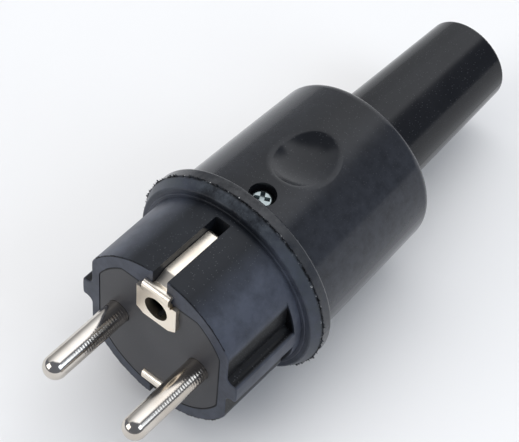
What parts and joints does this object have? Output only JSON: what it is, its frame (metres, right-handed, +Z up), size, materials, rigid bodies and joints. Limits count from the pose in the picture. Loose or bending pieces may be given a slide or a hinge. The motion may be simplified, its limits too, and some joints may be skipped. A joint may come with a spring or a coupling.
{
  "type": "type f plug",
  "caption": "Rewirable rubber mains plug with a ribbed round nose, round pins, sprung earth strips, an earth hole, a flanged rear cover and a tapered cord sleeve.",
  "frame": {"origin": "centre of the flat engagement face, midway between the pins", "axes": "+Y from the face back to the cord end, +Z up towards the earth hole, +X to the right"},
  "size_m": [0.0432, 0.114, 0.0432],
  "materials": {
    "front_rubber": "satin moulded rubber",
    "cover_rubber": "semi-gloss moulded rubber",
    "insert_plastic": "matt moulded plastic",
    "pin_nickel": "nickel-plated, turned",
    "contact_nickel": "nickel-plated sheet",
    "screw_zinc": "zinc-plated",
    "clamp_steel": "zinc-plated"
  },
  "bodies": {
    "root": {"front_housing": "front_rubber", "contact_insert": "insert_plastic", "rear_cover": "cover_rubber", "line_pin": "pin_nickel", "neutral_pin": "pin_nickel", "line_terminal_screw": "screw_zinc", "neutral_terminal_screw": "screw_zinc", "upper_earth_contact": "contact_nickel", "lower_earth_contact": "contact_nickel", "earth_socket_sleeve": "contact_nickel", "earth_bridge": "contact_nickel", "earth_clamp_washer": "screw_zinc", "earth_terminal_screw": "screw_zinc", "cover_screw": "screw_zinc", "cover_nut": "screw_zinc", "cord_clamp": "clamp_steel", "cord_clamp_screws": "screw_zinc"}
  },
  "joints": []
}
